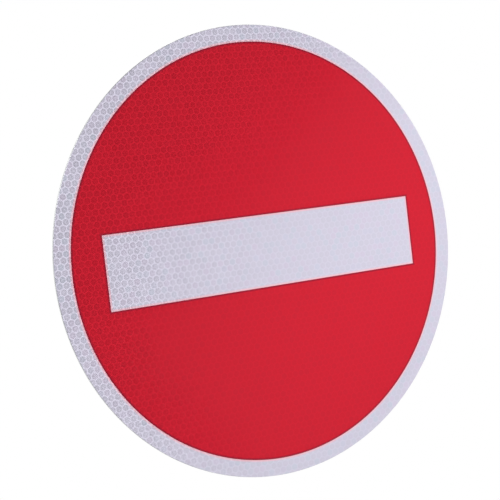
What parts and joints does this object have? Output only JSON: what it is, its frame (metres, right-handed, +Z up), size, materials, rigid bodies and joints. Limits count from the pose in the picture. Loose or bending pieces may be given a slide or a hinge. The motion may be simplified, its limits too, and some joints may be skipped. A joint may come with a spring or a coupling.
{
  "type": "no entry sign",
  "caption": "Round no entry road sign: flat aluminium plate faced with honeycomb reflective sheeting and a red film round a white bar, with riveted rails behind for sliding bolts.",
  "frame": {"origin": "centre of the disc, halfway through the sign's depth from the rails' rear faces to the red film's front", "axes": "+Z up as the sign is hung, with the bar along X; +Y to the rear along the disc's axis, towards the post; the face looks along -Y"},
  "size_m": [0.3999, 0.0144, 0.4],
  "materials": {
    "mill_aluminium_plate": "mill rolled",
    "white_reflective_sheeting": "smooth clear top film over sealed hexagonal cells",
    "red_transparent_film": "smooth transparent film",
    "extruded_aluminium": "extruded, with fine die lines",
    "aluminium_rivet": "satin"
  },
  "bodies": {
    "root": {"sign_plate": "mill_aluminium_plate", "white_sheeting": "white_reflective_sheeting", "red_overlay_film": "red_transparent_film", "upper_rail": "extruded_aluminium", "lower_rail": "extruded_aluminium", "upper_rail_rivets": "aluminium_rivet", "lower_rail_rivets": "aluminium_rivet"}
  },
  "joints": []
}
